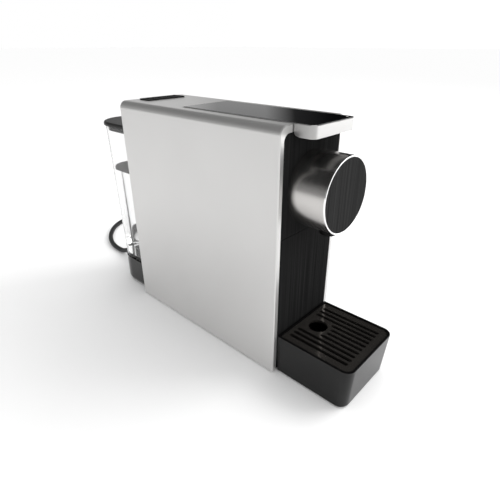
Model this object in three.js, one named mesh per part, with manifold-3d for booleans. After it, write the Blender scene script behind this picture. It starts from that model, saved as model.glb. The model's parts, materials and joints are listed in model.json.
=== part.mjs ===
// A slim pod coffee machine: silver shell, brushed nose, lift-up lever, drip tray, water tank, mains lead.
// Millimetres, +Z up. While drawing, y = 0 is the front edge of the shell, -Y is the front and z = 0
// the table; the finished machine is then moved along Y so that its middle stands over the origin.
import * as THREE from 'three';
import { mergeVertices } from 'three/addons/utils/BufferGeometryUtils.js';
import Module from 'manifold-3d';

const wasm = await Module();
wasm.setup();

// ---------- driving dimensions ----------
const GAP = 0.3; // free space between pieces that touch

const SHELL = { halfWidth: 45, length: 218.5, bottom: 2, top: 240, edge: 7.5, wall: 3, roof: 3.5 };
const RIM = { halfInside: 40.2, top: 233.7, corner: 6.5, depth: 7, bevel: 0.8 };
const LEVER = {
  halfWidth: 29.3, front: -19.5, rear: 131.5, top: 240.7, lip: 230.3, underside: 234,
  wall: 2.6, corner: 5, shoulder: 0.8, glassRim: 0.6, glassThickness: 1.3,
};
const LINER = { inset: 1.8, rear: -3.6, thickness: 1.4 }; // closes the lever's overhang from below
const LAMP = { x: 23.8, y: -14.5, radius: 1 }; // the light at the lever's front corner
const HINGE = { y: 123.5, z: 231.8, pin: 3, pinHalf: 34.3 };
const CAM = { x: 25.1, thickness: 2.6, rim: 4 }; // the lever's side plates
const VENT = { halfWidth: 22.2, front: 195.8, rear: 209.8, flange: 2.5, top: 241.2 };
const BREW_Z = 183.2; // height of the brewing axis
const NOSE = { radius: 33.1, wall: 2.5, front: -35.5, bezelDepth: 0.9, bezelWidth: 1.4 };
const SPOUT = { y: -21, radius: 8, bottom: 145.4, neck: 6, bore: 3 };
const SEAM = 144.4; // height of the joint between the fixed panel and the drawer's front
const PISTON = { radius: 20.5, front: 16, rear: 58, travel: 30, crossPinY: 66, crossPinZ: 215 };
const LEVER_SWING = (75 * Math.PI) / 180;
const FRAME = { inner: 30.5, outer: 33.5, rear: 210, bottom: 150, top: 236 };
const TRAY = { halfWidth: 40.5, front: -79.8, rear: -0.5, bottom: 0.6, top: 45, corner: 9.5, wall: 2.2 };
const GRILLE = { z: 41.5, thickness: 2.5, slotPitch: 6.4, slotWidth: 3.5, hole: 9.4, margin: 12.4 };
const BIN = { halfWidth: 37.3, rear: 112, bottom: 8, top: 138, wall: 2 };
const TANK = {
  halfWidth: 38, front: 219.6, rearBottom: 283.6, rearTop: 289.1, bottom: 38, top: 207.3,
  corner: 30, wall: 2,
};
const LID = { halfWidth: 38.8, rear: 294, corner: 33, bottom: 207.6, top: 212, lip: 5 };
const STAND = { halfWidth: 38.2, front: 219.1, rear: 284.6, corner: 30, bottom: 0.8, top: 37.5, wall: 2.5 };
const VALVE = { x: -19, y: 243 };
const SUCTION_Z = 24; // height of the water line from the tank to the pump
const PUMP = { x: -8, z: 62, front: 132, rear: 200 };
const CORD_HOLE = { x: 12, z: 16, radius: 5.5 }; // where the lead's wires enter the housing
const CORD = { radius: 3.5, coilX: 105, coilY: 350, coilRadius: 38.5, coilHeight: 14 };
const RELIEF = { z: 13, start: 281.5, end: 310 };

// ---------- geometry helpers ----------
const point = (x, y) => new THREE.Vector2(x, y);

// Turns the faces of a closed geometry outwards, whichever way round its profile was drawn.
function facingOut(geometry) {
  const g = geometry.index ? geometry.toNonIndexed() : geometry.clone();
  const p = g.attributes.position;
  const [a, b, c] = [0, 1, 2].map(() => new THREE.Vector3());
  let volume = 0;
  for (let i = 0; i < p.count; i += 3) {
    a.fromBufferAttribute(p, i);
    b.fromBufferAttribute(p, i + 1);
    c.fromBufferAttribute(p, i + 2);
    volume += a.dot(b.cross(c));
  }
  g.deleteAttribute('normal');
  g.deleteAttribute('uv');
  const merged = mergeVertices(g, 1e-4);
  if (volume < 0) merged.index.array.reverse();
  return merged;
}

function toSolid(geometry) {
  const g = facingOut(geometry);
  const vertProperties = new Float32Array(g.attributes.position.array);
  const triVerts = new Uint32Array(g.index.array);
  return new wasm.Manifold(new wasm.Mesh({ numProp: 3, vertProperties, triVerts }));
}

function toGeometry(solid) {
  const mesh = solid.getMesh();
  const geometry = new THREE.BufferGeometry();
  geometry.setAttribute('position', new THREE.BufferAttribute(mesh.vertProperties, 3));
  geometry.setIndex(new THREE.BufferAttribute(mesh.triVerts, 1));
  return geometry;
}

const cut = (body, ...tools) => toGeometry(tools.reduce((s, t) => s.subtract(toSolid(t)), toSolid(body)));
const join = (body, ...others) => toGeometry(others.reduce((s, t) => s.add(toSolid(t)), toSolid(body)));
const common = (body, ...others) =>
  toGeometry(others.reduce((s, t) => s.intersect(toSolid(t)), toSolid(body)));

function box(x0, x1, y0, y1, z0, z1) {
  const g = new THREE.BoxGeometry(x1 - x0, y1 - y0, z1 - z0);
  return g.translate((x0 + x1) / 2, (y0 + y1) / 2, (z0 + z1) / 2);
}

// A shape drawn in X and Y, drawn out from z0 to z1.
function prismZ(shape, z0, z1, curveSegments = 4) {
  const g = new THREE.ExtrudeGeometry(shape, { depth: z1 - z0, bevelEnabled: false, curveSegments });
  return g.translate(0, 0, z0);
}

// A shape drawn in X and Z, drawn out from y0 to y1.
function prismY(shape, y0, y1, curveSegments = 4) {
  const g = new THREE.ExtrudeGeometry(shape, { depth: y1 - y0, bevelEnabled: false, curveSegments });
  return g.rotateX(Math.PI / 2).translate(0, y1, 0);
}

// A shape drawn in Y and Z, drawn out from x0 to x1.
function prismX(shape, x0, x1, curveSegments = 4) {
  const g = new THREE.ExtrudeGeometry(shape, { depth: x1 - x0, bevelEnabled: false, curveSegments });
  const turn = new THREE.Matrix4().makeBasis(
    new THREE.Vector3(0, 1, 0), new THREE.Vector3(0, 0, 1), new THREE.Vector3(1, 0, 0));
  return g.applyMatrix4(turn).translate(x0, 0, 0);
}

// Turned pieces: a closed outline of [radius, distance along the axis] pairs.
function turned(outline, segments) {
  const points = [...outline, outline[0]].map(([r, h]) => point(r, h));
  return facingOut(new THREE.LatheGeometry(points, segments));
}
const turnedY = (outline, segments = 32) => turned(outline, segments);
const turnedZ = (outline, segments = 24) => turned(outline, segments).rotateX(Math.PI / 2);
const turnedX = (outline, segments = 20) => turned(outline, segments).rotateZ(-Math.PI / 2);
const rod = (radius, from, to) => [[0, from], [radius, from], [radius, to], [0, to]];
const ring = (inner, outer, from, to) => [[inner, from], [outer, from], [outer, to], [inner, to]];

// A rectangle with four corner radii, in the order (x0,y0), (x1,y0), (x1,y1), (x0,y1).
function roundedRectangle(x0, x1, y0, y1, [a, b, c, d]) {
  const s = new THREE.Shape();
  s.moveTo(x0 + a, y0);
  s.lineTo(x1 - b, y0);
  if (b) s.absarc(x1 - b, y0 + b, b, -Math.PI / 2, 0);
  s.lineTo(x1, y1 - c);
  if (c) s.absarc(x1 - c, y1 - c, c, 0, Math.PI / 2);
  s.lineTo(x0 + d, y1);
  if (d) s.absarc(x0 + d, y1 - d, d, Math.PI / 2, Math.PI);
  s.lineTo(x0, y0 + a);
  if (a) s.absarc(x0 + a, y0 + a, a, Math.PI, 1.5 * Math.PI);
  return s;
}

function roundHole(shape, x, y, radius, sides = 16) {
  const corners = Array.from({ length: sides }, (_, i) => {
    const turn = (i * 2 * Math.PI) / sides;
    return point(x + radius * Math.cos(turn), y + radius * Math.sin(turn));
  });
  shape.holes.push(new THREE.Path(corners));
}

function polygon(points) {
  return new THREE.Shape(points.map(([x, y]) => point(x, y)));
}

// Joins outlines of equal length, one above the other, into a closed solid.
function loft(sections) {
  const n = sections[0].outline.length;
  const positions = sections.flatMap(({ outline, z }) => outline.flatMap(p => [p.x, p.y, z]));
  const index = [];
  for (let s = 0; s + 1 < sections.length; s++) {
    for (let i = 0; i < n; i++) {
      const [a, b] = [s * n + i, s * n + ((i + 1) % n)];
      index.push(a, b, b + n, a, b + n, a + n);
    }
  }
  const last = (sections.length - 1) * n;
  for (const [a, b, c] of THREE.ShapeUtils.triangulateShape(sections[0].outline, [])) {
    index.push(c, b, a, last + a, last + b, last + c);
  }
  const g = new THREE.BufferGeometry();
  g.setAttribute('position', new THREE.Float32BufferAttribute(positions, 3));
  g.setIndex(index);
  return g;
}

const outlineOf = (shape, curveSegments = 4) => {
  const points = shape.getPoints(curveSegments);
  return points.filter((p, i) => p.distanceTo(points[(i + 1) % points.length]) > 1e-3);
};

// Plan of the tank end: square at the machine, round at the back. Inset moves every edge but the front one.
function tankPlan({ halfWidth, front, rear, corner }, inset = 0) {
  const [w, r] = [halfWidth - inset, corner - inset];
  return roundedRectangle(-w, w, front, rear - inset, [0, 0, r, r]);
}

function tube(points, radius, steps, sides = 6) {
  const circle = new THREE.Shape();
  circle.absarc(0, 0, radius, 0, 2 * Math.PI);
  const corners = points.map(p => new THREE.Vector3(...p));
  const extrudePath = new THREE.CatmullRomCurve3(corners, false, 'centripetal');
  const curveSegments = sides / 2;
  return new THREE.ExtrudeGeometry(circle, { steps, curveSegments, bevelEnabled: false, extrudePath });
}

// ---------- materials ----------
const look = (color, roughness, metalness = 0) => ({ color, roughness, metalness });
const LOOKS = {
  silver: look(0xb9b7b4, 0.42, 0.8),
  brushed: look(0x8f8b87, 0.32, 1),
  polished: look(0xe4e4e4, 0.12, 1),
  black: look(0x1c1c1d, 0.5),
  panel: look(0x2a2a2b, 0.42, 0.3),
  gloss: look(0x0b0b0c, 0.08),
  smoke: look(0x474543, 0.5),
  clear: look(0xf2f6f6, 0.05),
  white: look(0xdcdcd6, 0.45),
  steel: look(0xa8a8a8, 0.35, 1),
  cast: look(0x9b9b9b, 0.55, 1),
  rubber: look(0x161616, 0.85),
  circuit: look(0x1f5a34, 0.5),
  lamp: look(0xf5f5f0, 0.3),
};

function named(name, geometry, kind, parent) {
  const material = new THREE.MeshStandardMaterial(LOOKS[kind]);
  const g = facingOut(geometry);
  g.computeVertexNormals();
  const mesh = new THREE.Mesh(g, material);
  mesh.name = name;
  parent.add(mesh);
  return mesh;
}

const machine = new THREE.Group();
machine.position.y = -(TRAY.front + LID.rear) / 2;

function groupAt(x, y, z, parent = machine) {
  const group = new THREE.Group();
  group.position.set(x, y, z);
  parent.add(group);
  return group;
}

// ---------- housing ----------
// The arch of the shell, seen from the front, down to z = bottom.
function arch(halfWidth, top, corner, bottom) {
  return roundedRectangle(-halfWidth, halfWidth, bottom, top, [0, 0, corner, corner]);
}

function outerShell() {
  const { halfWidth, top, edge, bottom, length } = SHELL;
  const outline = inset => outlineOf(arch(halfWidth - inset, top - inset, edge - inset, bottom), 12);
  const sections = [[0, RIM.bevel], [RIM.bevel, 0], [length - RIM.bevel, 0], [length, RIM.bevel]];
  // lofted along Z, then laid down so that the long way runs along Y
  const upright = loft(sections.map(([z, inset]) => ({ z: -z, outline: outline(inset) })));
  const block = upright.rotateX(Math.PI / 2);
  const cavity = arch(halfWidth - SHELL.wall, top - SHELL.roof, edge - SHELL.wall, bottom - 5);
  const mouth = arch(RIM.halfInside, RIM.top, RIM.corner, bottom - 5);
  const notchHalf = LEVER.halfWidth + 1;
  const heel = LEVER.rear - 0.2;
  // leans back under the lever's heel
  const notch = polygon([[-2, 228], [heel + 9.2, 228], [heel, 242], [-2, 242]]);
  const ventHalf = VENT.halfWidth + 0.4;
  return cut(
    block,
    prismY(cavity, RIM.depth, length + 2, 3),
    prismY(mouth, -2, RIM.depth + 1, 8),
    prismX(notch, -notchHalf, notchHalf),
    box(-ventHalf, ventHalf, VENT.front - 0.4, VENT.rear + 0.4, 230, 245),
  );
}

function basePlate() {
  const plate = box(-39.8, 39.8, 1, 214.2, SHELL.bottom + 0.2, 4.7);
  const railX = BIN.halfWidth + 1.4; // the drawer slides between two rails
  const rail = side => box(side * railX - 0.8, side * railX + 0.8, 6, 110, 4.5, 12);
  const cradle = roundedRectangle(-29.5, 13.5, 4.5, 84, [0, 0, 6, 6]);
  roundHole(cradle, PUMP.x, PUMP.z, 18.8);
  roundHole(cradle, VALVE.x, SUCTION_Z, 5);
  return join(plate, rail(-1), rail(1), prismY(cradle, 134, 138), prismY(cradle, 194, 198));
}

function rearPanel() {
  const shape = arch(SHELL.halfWidth - SHELL.wall - 0.4, FRAME.top, 4, 5.2);
  roundHole(shape, VALVE.x, SUCTION_Z, 5);
  roundHole(shape, CORD_HOLE.x, CORD_HOLE.z, CORD_HOLE.radius);
  return prismY(shape, SHELL.length - 3.9, SHELL.length - 0.9);
}

function frontPanel() {
  const shape = arch(RIM.halfInside - GAP, RIM.top - GAP, RIM.corner - GAP, SEAM + GAP);
  roundHole(shape, 0, BREW_Z, 27, 40);
  return prismY(shape, 0.6, 3.6);
}

function ventGrille() {
  const { halfWidth, front, rear, flange, top } = VENT;
  const w = halfWidth + flange;
  const plan = roundedRectangle(-w, w, front - 2.3, rear + 2.2, [3, 3, 3, 3]);
  const throat = box(-halfWidth, halfWidth, front, rear, 237, top - 0.7);
  const slot = y => box(-20.4, 20.4, y - 1.1, y + 1.1, 230, 245);
  return cut(join(prismZ(plan, SHELL.top + 0.2, top), throat), slot(199), slot(203), slot(207));
}

const foot = () => turnedZ([[0, 0], [6.2, 0], [7, 0.8], [7, 1.9], [0, 1.9]], 24);

// ---------- nose and spout ----------
function noseBarrel() {
  const { radius, wall } = NOSE;
  const front = NOSE.front + NOSE.bezelDepth + GAP;
  const collar = 27.5; // fits round the brewing head
  const outline = [
    [collar, GAP], [radius, GAP], [radius, front], [radius - wall, front],
    [radius - wall, -2.2], [collar, -2.2],
  ];
  const spoutHole = turnedZ(rod(SPOUT.neck + 0.4, -60, 0)).translate(0, SPOUT.y, 0);
  return cut(turnedY(outline, 48), spoutHole);
}

function noseBezel() {
  const { radius, front, bezelDepth, bezelWidth } = NOSE;
  const seat = front + bezelDepth;
  const rebate = seat + 0.9; // the face rests here
  return turnedY([
    [radius - bezelWidth, front], [radius - 0.3, front], [radius, front + 0.3], [radius, seat],
    [30.3, seat], [30.3, seat + 6], [28.5, seat + 6], [28.5, rebate], [radius - 3, rebate],
    [radius - 3, seat - 0.1], [radius - bezelWidth, seat - 0.1],
  ], 48);
}

function noseFace() {
  const { radius, front, bezelWidth } = NOSE;
  return turnedY(rod(radius - bezelWidth - 0.2, front + 0.2, front + 0.7), 48);
}

// The spout hangs under the nose: a saddle that follows the barrel, and a neck that goes up inside it.
function coffeeSpout() {
  const { radius, bottom, neck, bore } = SPOUT;
  const lip = turnedZ([[0, bottom], [radius - 1, bottom], [radius, bottom + 1.2], [radius, 156], [0, 156]]);
  const barrel = turnedY(rod(NOSE.radius + GAP, -60, 60), 48).translate(0, 0, BREW_Z);
  const saddle = cut(lip.translate(0, SPOUT.y, 0), barrel);
  const pipe = turnedZ(rod(neck, bottom + 2, 156.8)).translate(0, SPOUT.y, 0);
  const way = turnedZ(rod(bore, 140, 160)).translate(0, SPOUT.y, 0);
  return cut(join(saddle, pipe), way);
}

// ---------- brewing unit ----------
// The fixed half of the brewing chamber, with its drain down to the spout.
function brewHead() {
  const outline = [[0, -29], [24.5, -29], [26, -27.5], [26, 14.1], [18.5, 14.1], [18.5, -4], [0, -4]];
  const body = turnedY(outline, 40);
  const across = turnedY(rod(3.5, SPOUT.y, 0), 16);
  const down = turnedZ(rod(3.5, -30, 0), 16).translate(0, SPOUT.y, 0);
  return cut(body, across, down);
}

// Two cheeks that carry the hinge pin and guide the cross pin, joined by a floor and a front wall.
function brewFrame() {
  const { inner, outer, rear, bottom, top } = FRAME;
  const [earFront, earRear] = [HINGE.y - 16.5, HINGE.y + 13.5];
  const cheek = polygon([
    [8, bottom], [118, bottom], [118, 5], [130, 5], [130, bottom], [rear, bottom],
    [rear, 205], [earRear + 8, 214], [earRear, top], [earFront, top], [earFront - 8, 224], [8, 224],
  ]);
  const slot = new THREE.Path();
  const half = HINGE.pin + 0.3;
  slot.absarc(PISTON.crossPinY, PISTON.crossPinZ, half, Math.PI / 2, 1.5 * Math.PI);
  slot.absarc(PISTON.crossPinY + PISTON.travel, PISTON.crossPinZ, half, -Math.PI / 2, Math.PI / 2);
  cheek.holes.push(slot);
  roundHole(cheek, HINGE.y, HINGE.z, half);
  const front = roundedRectangle(-outer, outer, bottom - 3, 218, [0, 0, 0, 0]);
  roundHole(front, 0, BREW_Z, 26.6, 40);
  const floor = cut(box(-outer, outer, 8, 116, bottom - 3, bottom + 0.5), box(-21, 21, 13, 50, 140, 160));
  return join(prismX(cheek, inner, outer), prismX(cheek, -outer, -inner), floor, prismY(front, 8, 11));
}

// The deck under the lever, with the slot that a pod is dropped through.
function capsuleDeck() {
  const half = [[30.2, 4.2], [30.2, 52], [22.8, 56], [22.8, 106]];
  const shape = polygon([...half, ...half.map(([x, y]) => [-x, y]).reverse()]);
  const slot = new THREE.Path();
  slot.absarc(0, 31, 19, Math.PI * 0.25, Math.PI * 0.75);
  slot.absarc(0, 31, 19, Math.PI * 1.25, Math.PI * 1.75);
  shape.holes.push(slot);
  return prismZ(shape, 224.4, 227.4);
}

// The sliding half of the chamber: a cup that holds the pod, with two ears for the cross pin.
function brewPiston() {
  const { radius, front, rear, crossPinY } = PISTON;
  const pinHeight = PISTON.crossPinZ - BREW_Z;
  const seat = front + 26; // where the pod's base rests
  const cup = turnedY(
    [[0, rear], [radius, rear], [radius, front], [17.5, front], [16, seat], [0, seat]], 40);
  const ear = polygon([
    [46, 10], [rear, 10], [crossPinY + 6, pinHeight - 4], [crossPinY + 5, pinHeight + 4],
    [crossPinY - 5, pinHeight + 4], [46, 17],
  ]);
  roundHole(ear, crossPinY, pinHeight, HINGE.pin + GAP);
  const spigot = turnedY(rod(4, rear - 1, rear + 9), 16);
  const way = turnedY(rod(2, 30, rear + 12), 12);
  return cut(join(cup, prismX(ear, 12.5, 17), prismX(ear, -17, -12.5), spigot), way);
}

const pistonSeal = () => turnedY(ring(17.8, 20.2, 14.4, PISTON.front - GAP), 40);
const pin = () => turnedX(rod(HINGE.pin, -HINGE.pinHalf, HINGE.pinHalf));

// ---------- lever, drawn from its hinge axis ----------
const fromHinge = ([y, z]) => [y - HINGE.y, z - HINGE.z];

function leverFrame() {
  const { halfWidth, front, rear, top, lip, underside, corner, shoulder, wall } = LEVER;
  const heel = rear - 17.5; // where the lever thickens round its hinge
  const side = new THREE.Shape();
  side.moveTo(front, lip);
  side.lineTo(-6.4, lip);
  side.quadraticCurveTo(-1.2, lip + 0.3, -0.4, underside);
  side.lineTo(heel - 7, underside);
  side.lineTo(heel, 225);
  side.lineTo(rear - 2, 225);
  side.lineTo(rear, 228);
  side.lineTo(rear, top - 1);
  side.lineTo(rear - 1, top);
  side.lineTo(front + 0.8, top);
  side.lineTo(front, top - 0.8);
  const plan = roundedRectangle(-halfWidth, halfWidth, front, rear, [corner, corner, 0.5, 0.5]);
  const section = roundedRectangle(-halfWidth, halfWidth, 200, top, [0, 0, shoulder, shoulder]);
  const body = common(
    prismX(side, -halfWidth, halfWidth), prismZ(plan, 200, 250, 8), prismY(section, front - 1, rear + 1));
  const glassBed = prismZ(glassPlan(0.15), top - LEVER.glassThickness - GAP, 250, 8);
  const hollow = box(-halfWidth + wall, halfWidth - wall, 3, heel - 7, 220, 236.4);
  const linerBed = prismZ(linerPlan(0), lip - 2, lip + LINER.thickness + 0.2);
  const pocketHalf = CAM.thickness / 2 + 0.4;
  const camPocket = side =>
    box(side * CAM.x - pocketHalf, side * CAM.x + pocketHalf, 50, rear - 2.2, 215, 236.4);
  const pinHole = turnedX(rod(HINGE.pin + 0.15, -50, 50)).translate(0, HINGE.y, HINGE.z);
  const frame = cut(body, glassBed, linerBed, hollow, camPocket(-1), camPocket(1), pinHole);
  return frame.translate(0, -HINGE.y, -HINGE.z);
}

// Plan of the glass, or of the bed it lies in, which is larger all round by extra.
function glassPlan(extra) {
  const rim = LEVER.glassRim - extra;
  const w = LEVER.halfWidth - rim;
  const corner = LEVER.corner - rim;
  return roundedRectangle(-w, w, LEVER.front + rim, LEVER.rear - rim, [corner, corner, 0.6, 0.6]);
}

function linerPlan(gap) {
  const inset = LINER.inset + gap;
  const w = LEVER.halfWidth - inset;
  const corner = LEVER.corner - inset;
  return roundedRectangle(-w, w, LEVER.front + inset, LINER.rear - gap, [corner, corner, 1, 1]);
}

// A plate let into the underside of the lever's overhang.
function leverLiner() {
  return prismZ(linerPlan(0.15), LEVER.lip, LEVER.lip + LINER.thickness).translate(0, -HINGE.y, -HINGE.z);
}

function leverGlass() {
  const shape = glassPlan(0);
  roundHole(shape, LAMP.x, LAMP.y, LAMP.radius + GAP);
  const glass = prismZ(shape, LEVER.top - LEVER.glassThickness, LEVER.top, 8);
  return glass.translate(0, -HINGE.y, -HINGE.z);
}

function indicatorLens() {
  const lens = turnedZ(rod(LAMP.radius, LEVER.top - LEVER.glassThickness, LEVER.top), 12);
  return lens.translate(LAMP.x, LAMP.y - HINGE.y, -HINGE.z);
}

function touchBoard() {
  const board = box(-20, 20, 8, 46, 233.6, 235.2);
  const chip = box(-5, 5, 20, 30, 232.4, 233.8);
  return join(board, chip).translate(0, -HINGE.y, -HINGE.z);
}

// A side plate of the lever. Its curved slot draws the cross pin back evenly as the lever is lifted.
function leverCam(side) {
  const [pinY, pinZ] = fromHinge([PISTON.crossPinY, PISTON.crossPinZ]);
  const steps = 12;
  const halfSlot = HINGE.pin + 0.35;
  const place = angle => {
    const y = pinY + (PISTON.travel * angle) / LEVER_SWING;
    return point(y * Math.cos(angle) - pinZ * Math.sin(angle), y * Math.sin(angle) + pinZ * Math.cos(angle));
  };
  const heading = angle => place(angle + 0.01).sub(place(angle - 0.01)).normalize();
  const beside = (angle, distance) => {
    const along = heading(angle);
    return place(angle).add(point(along.y, -along.x).multiplyScalar(-distance));
  };
  const angles = Array.from({ length: steps + 1 }, (_, i) => (i * LEVER_SWING) / steps);
  // rounds off an end of the slot: half a turn from one side to the other
  const cap = (angle, forward) => [1, 2, 3].map(k => {
    const along = heading(angle).multiplyScalar(forward);
    const across = point(along.y, -along.x);
    const turn = (k * Math.PI) / 4;
    across.multiplyScalar(halfSlot * Math.cos(turn));
    along.multiplyScalar(halfSlot * Math.sin(turn));
    return place(angle).add(across).add(along);
  });
  const low = beside(0, 1).y < beside(0, -1).y ? 1 : -1; // which side of the slot faces down
  const rim = halfSlot + CAM.rim;
  const topZ = 236.1 - HINGE.z;
  const outline = [
    point(pinY - rim, topZ), point(pinY - rim, pinZ),
    ...angles.map(a => beside(a, low * rim)),
    place(LEVER_SWING).add(point(rim, 0)), point(5.2, -6), point(5.2, topZ),
  ];
  const shape = new THREE.Shape(outline);
  const slot = [
    ...angles.map(a => beside(a, halfSlot)), ...cap(LEVER_SWING, 1).reverse(),
    ...angles.slice().reverse().map(a => beside(a, -halfSlot)), ...cap(0, -1).reverse(),
  ];
  shape.holes.push(new THREE.Path(slot));
  roundHole(shape, 0, 0, HINGE.pin + GAP);
  return prismX(shape, side * CAM.x - CAM.thickness / 2, side * CAM.x + CAM.thickness / 2);
}

// ---------- water path ----------
function waterPump() {
  const coil = prismY(roundedRectangle(-20, 20, -22, 22, [4, 4, 4, 4]), 144, 188);
  const barrel = turnedY(rod(12, PUMP.front, PUMP.rear), 24);
  const inlet = turnedY(rod(4, PUMP.front - 4, PUMP.front + 1), 12);
  const outlet = turnedY(rod(4, PUMP.rear - 1, PUMP.rear + 4), 12);
  return join(coil, barrel, inlet, outlet);
}

// A grommet with a groove round it, which the cradle's edge sits in.
function pumpMount() {
  const [bore, radius, groove] = [12.3, 20.5, 18];
  return turnedY([
    [bore, -5], [radius, -5], [radius, -2.3], [groove, -2.3],
    [groove, 2.3], [radius, 2.3], [radius, 5], [bore, 5],
  ], 20);
}

function thermoblock() {
  const block = prismY(roundedRectangle(-26, 26, -16, 16, [5, 5, 5, 5]), 152, 206);
  const lug = y => turnedX(rod(4, -30.2, 30.2), 12).translate(0, y, 0);
  const outlet = turnedY(rod(4, 148, 153), 12);
  const inlet = turnedZ(rod(4, -22, -15), 12).translate(10, 190, 0);
  const terminals = [-18, 18].map(x => box(x - 2.5, x + 2.5, 205, 211, -0.6, 0.6));
  return join(block, lug(160), lug(198), outlet, inlet, ...terminals);
}
const thermostat = () => turnedZ([[0, 16.3], [8, 16.3], [8, 22], [5, 23.5], [0, 23.5]], 16);

function flowMeter() {
  const body = turnedZ(rod(13.5, -7, 7), 24);
  const ports = [[13, 17], [-17, -13]].map(([a, b]) => turnedY(rod(3.5, a, b), 12));
  return join(body, ...ports);
}

function controlBoard() {
  const board = box(33.8, 35.4, 134, 206, 30, 140);
  const relay = box(18, 34, 140, 158, 112, 132);
  const supply = box(20, 34, 168, 196, 100, 130);
  const capacitor = turnedX(rod(6, 19, 34), 16).translate(0, 184, 84);
  const connectors = [40, 58].map(z => box(24, 34, 146, 172, z, z + 8));
  return join(board, relay, supply, capacitor, ...connectors);
}

// Tank to flow meter.
function suctionHose() {
  return tube([234, 210, 189.5].map(y => [VALVE.x, y, SUCTION_Z]), 3, 4);
}

// Flow meter to pump.
function pumpHose() {
  const [x, z] = [VALVE.x, SUCTION_Z];
  return tube([
    [x, 154.5, z], [x, 148, z], [x, 136, 24.3], [-17, 124, 29], [-12, 117.5, 41],
    [-8.5, 116.5, 53], [PUMP.x, 121, 61.5], [PUMP.x, 127.5, PUMP.z],
  ], 3, 24);
}

// Pump to heater.
function pressureHose() {
  const { x, z } = PUMP;
  return tube([
    [x, 204.8, z], [x, 208, z + 0.6], [-7, 211, 71], [-4, 211, 86], [2, 208, 112],
    [8, 201, 138], [10, 191, 151], [10, 190, 160.6],
  ], 2.5, 24);
}

// Heater to the sliding half of the brewing chamber, with slack for its travel.
function brewHose() {
  const z = BREW_Z;
  return tube([
    [0, 147.6, z], [0, 138, z], [7, 124, z - 9], [4, 106, z - 15], [-6, 90, z - 9],
    [0, 76, z], [0, PISTON.rear + 9.3, z],
  ], 2.5, 26);
}

// ---------- tank and its stand ----------
const COVER_SCREWS = [[-28, 230], [28, 230], [-15, 268], [15, 268]];

function tankStand() {
  const plan = inset => outlineOf(tankPlan(STAND, inset), 10);
  const foldIn = [[STAND.bottom, 5], [1.6, 3], [3.2, 1.4], [6.5, 0], [STAND.top, 0]];
  const body = loft(foldIn.map(([z, inset]) => ({ z, outline: plan(inset) })));
  const room = { ...STAND, front: STAND.front + STAND.wall };
  const boss = ([x, y]) => turnedZ(ring(1.8, 4.2, 5.2, 36), 12).translate(x, y, 0);
  const shell = cut(
    body,
    prismZ(tankPlan(room, 6.5), -1, 7),
    prismZ(tankPlan(room, STAND.wall), 6.9, STAND.top - 2.5, 8),
    turnedZ(rod(7, 30, 45)).translate(VALVE.x, VALVE.y, 0),
    turnedY(rod(5, 200, 230), 20).translate(VALVE.x, 0, SUCTION_Z),
    turnedY(rod(CORD_HOLE.radius, 200, 230), 20).translate(CORD_HOLE.x, 0, CORD_HOLE.z),
    turnedY(rod(5.4, 270, 300), 20).translate(0, 0, RELIEF.z),
  );
  return join(shell, ...COVER_SCREWS.map(boss));
}

function standCover() {
  const room = { ...STAND, front: STAND.front + STAND.wall + 0.4 };
  const shape = tankPlan(room, 6.9);
  for (const [x, y] of COVER_SCREWS) roundHole(shape, x, y, 1.8);
  return prismZ(shape, 2.6, 4.8);
}

function coverScrew() {
  const [head, shank] = [3.1, 1.4];
  return turnedZ([
    [0, 0.9], [head - 0.3, 0.9], [head, 1.4], [head, 2.3], [shank, 2.3], [shank, 14], [0, 15],
  ], 12);
}

// A cup under the stand's top that takes the tank's valve, with a spigot towards the pump.
function tankSocket() {
  const [bore, post] = [6.9, 1.6]; // the post in the middle lifts the valve's plunger
  const cup = turnedZ([
    [0, 17], [9, 17], [9, 34.6], [bore, 34.6], [bore, 27], [post, 27], [post, 31.8], [0, 31.8],
  ], 24);
  const spigot = turnedY(rod(2.8, -8.6, -5), 12).translate(0, 0, SUCTION_Z);
  return join(cup, spigot);
}
const tankSeal = () => turnedZ([[5.9, 27.4], [6.6, 27.4], [6.6, 33], [5.9, 33]], 24);

function waterTank() {
  const rise = z => (z - TANK.bottom) / (TANK.top - TANK.bottom);
  const plan = (z, inset) => {
    const rear = THREE.MathUtils.lerp(TANK.rearBottom, TANK.rearTop, rise(z));
    return outlineOf(tankPlan({ ...TANK, front: TANK.front + inset, rear }, inset), 10);
  };
  const outside = [[TANK.bottom, 1.6], [TANK.bottom + 1.6, 0], [TANK.top, 0]];
  const inside = [[TANK.bottom + 2.5, 3.6], [TANK.bottom + 4.1, 2], [TANK.top + 2, 2]];
  const body = loft(outside.map(([z, inset]) => ({ z, outline: plan(z, inset) })));
  const room = loft(inside.map(([z, inset]) => ({ z, outline: plan(z, inset) })));
  return cut(body, room, turnedZ(rod(6, 30, 50)).translate(VALVE.x, VALVE.y, 0));
}

function tankLid() {
  const plan = inset => outlineOf(tankPlan({ ...LID, front: TANK.front + inset }, inset), 10);
  const { bottom, top } = LID;
  const edge = [[bottom, 0.4], [bottom + 0.4, 0], [top - 2, 0], [top - 0.7, 0.5], [top, 1.8]];
  const plate = loft(edge.map(([z, inset]) => ({ z, outline: plan(inset) })));
  const lip = { ...TANK, front: TANK.front + TANK.wall + GAP, rear: TANK.rearTop };
  const outer = tankPlan(lip, TANK.wall + 0.4);
  const inner = tankPlan({ ...lip, front: lip.front + 2 }, TANK.wall + 2.4);
  const skirt = cut(prismZ(outer, bottom - LID.lip, bottom + 1), prismZ(inner, bottom - 10, bottom - 0.2));
  return join(plate, skirt);
}

// The valve in the tank's floor, drawn about its own axis: a seat, a plunger, a spring and a cap.
function valveBody() {
  return turnedZ([
    [3.6, 34.5], [5.5, 34.5], [5.5, 40.9], [10, 40.9], [10, 47], [7.5, 47], [7.5, 42.6], [3.6, 42.6],
  ], 24);
}

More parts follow.
